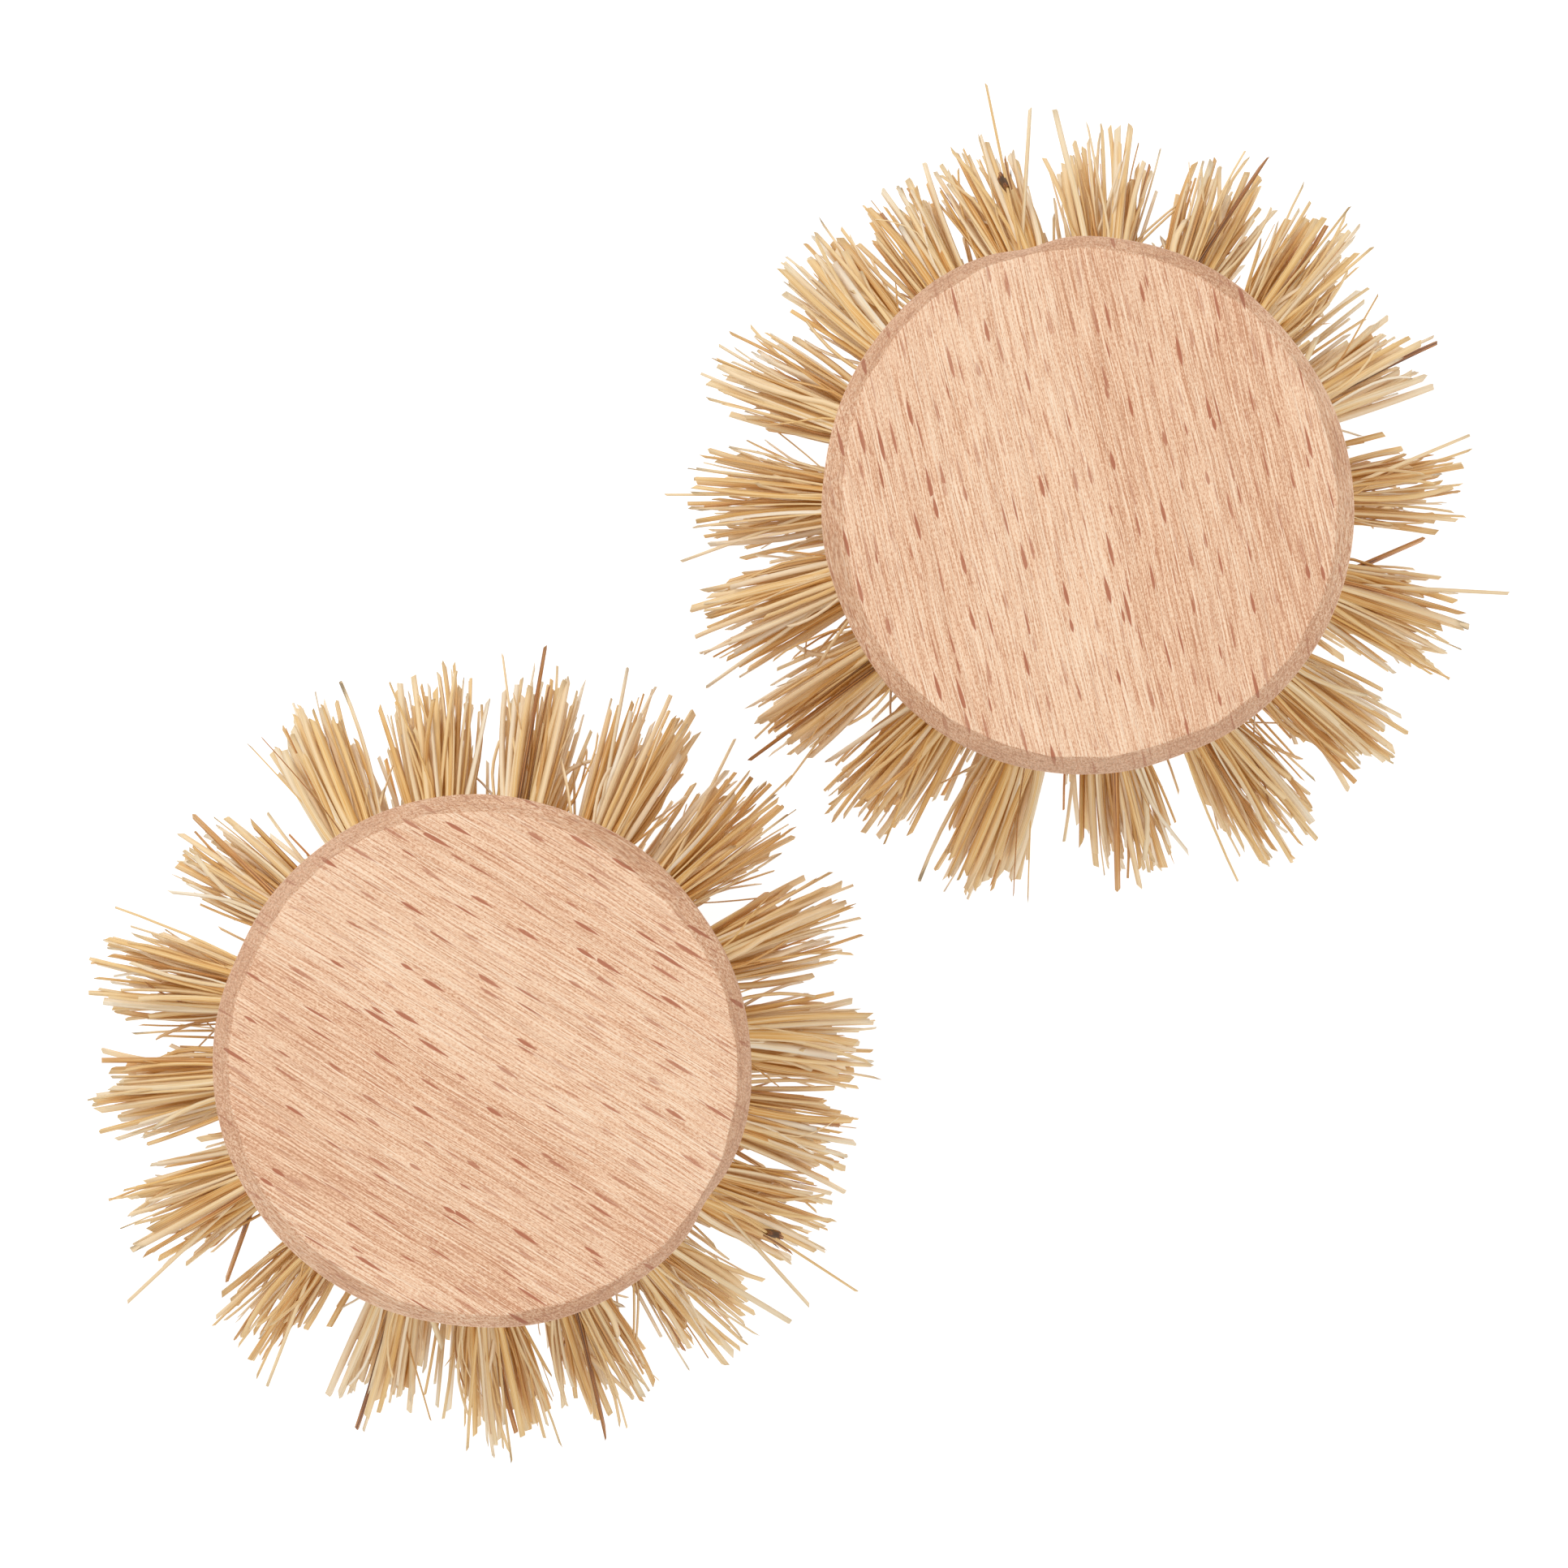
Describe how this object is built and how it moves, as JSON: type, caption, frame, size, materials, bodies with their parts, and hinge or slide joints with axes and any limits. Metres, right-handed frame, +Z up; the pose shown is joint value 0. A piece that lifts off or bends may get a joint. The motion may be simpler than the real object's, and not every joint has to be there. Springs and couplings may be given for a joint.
{
  "type": "round fibre brush heads",
  "caption": "Pair of round wooden scrubbing-brush heads with stiff plant-fibre tufts splayed out all round, lying bristles down",
  "frame": {"origin": "on the surface that the bristles stand on, under the middle of the pair's box", "axes": "+Z up, out of the flat wooden tops; +X and +Y along the sides of the pair's box, brush_1 towards +X +Y"},
  "size_m": [0.1042, 0.1006, 0.034],
  "materials": {
    "beech": "sanded, unvarnished",
    "fibre": "dry stiff plant fibre",
    "staple_wire": "drawn wire"
  },
  "bodies": {
    "brush_1": {"brush_1_block": "beech", "brush_1_outer_tuft_01": "fibre", "brush_1_outer_tuft_02": "fibre", "brush_1_outer_tuft_03": "fibre", "brush_1_outer_tuft_04": "fibre", "brush_1_outer_tuft_05": "fibre", "brush_1_outer_tuft_06": "fibre", "brush_1_outer_tuft_07": "fibre", "brush_1_outer_tuft_08": "fibre", "brush_1_outer_tuft_09": "fibre", "brush_1_outer_tuft_10": "fibre", "brush_1_outer_tuft_11": "fibre", "brush_1_outer_tuft_12": "fibre", "brush_1_outer_tuft_13": "fibre", "brush_1_outer_tuft_14": "fibre", "brush_1_outer_tuft_15": "fibre", "brush_1_outer_tuft_16": "fibre", "brush_1_outer_tuft_17": "fibre", "brush_1_outer_tuft_18": "fibre", "brush_1_middle_tufts": "fibre", "brush_1_inner_tuft_1": "fibre", "brush_1_inner_tuft_2": "fibre", "brush_1_inner_tuft_3": "fibre", "brush_1_inner_tuft_4": "fibre", "brush_1_inner_tuft_5": "fibre", "brush_1_inner_tuft_6": "fibre", "brush_1_centre_tuft": "fibre", "brush_1_staples": "staple_wire"},
    "brush_2": {"brush_2_block": "beech", "brush_2_outer_tuft_01": "fibre", "brush_2_outer_tuft_02": "fibre", "brush_2_outer_tuft_03": "fibre", "brush_2_outer_tuft_04": "fibre", "brush_2_outer_tuft_05": "fibre", "brush_2_outer_tuft_06": "fibre", "brush_2_outer_tuft_07": "fibre", "brush_2_outer_tuft_08": "fibre", "brush_2_outer_tuft_09": "fibre", "brush_2_outer_tuft_10": "fibre", "brush_2_outer_tuft_11": "fibre", "brush_2_outer_tuft_12": "fibre", "brush_2_outer_tuft_13": "fibre", "brush_2_outer_tuft_14": "fibre", "brush_2_outer_tuft_15": "fibre", "brush_2_outer_tuft_16": "fibre", "brush_2_outer_tuft_17": "fibre", "brush_2_outer_tuft_18": "fibre", "brush_2_middle_tufts": "fibre", "brush_2_inner_tuft_1": "fibre", "brush_2_inner_tuft_2": "fibre", "brush_2_inner_tuft_3": "fibre", "brush_2_inner_tuft_4": "fibre", "brush_2_inner_tuft_5": "fibre", "brush_2_inner_tuft_6": "fibre", "brush_2_centre_tuft": "fibre", "brush_2_staples": "staple_wire"}
  },
  "joints": [
    {"name": "brush_2_lift", "type": "slide", "parent": "brush_1", "child": "brush_2", "axis": [0, 0, 1], "range_m": [0, 0.06]}
  ]
}
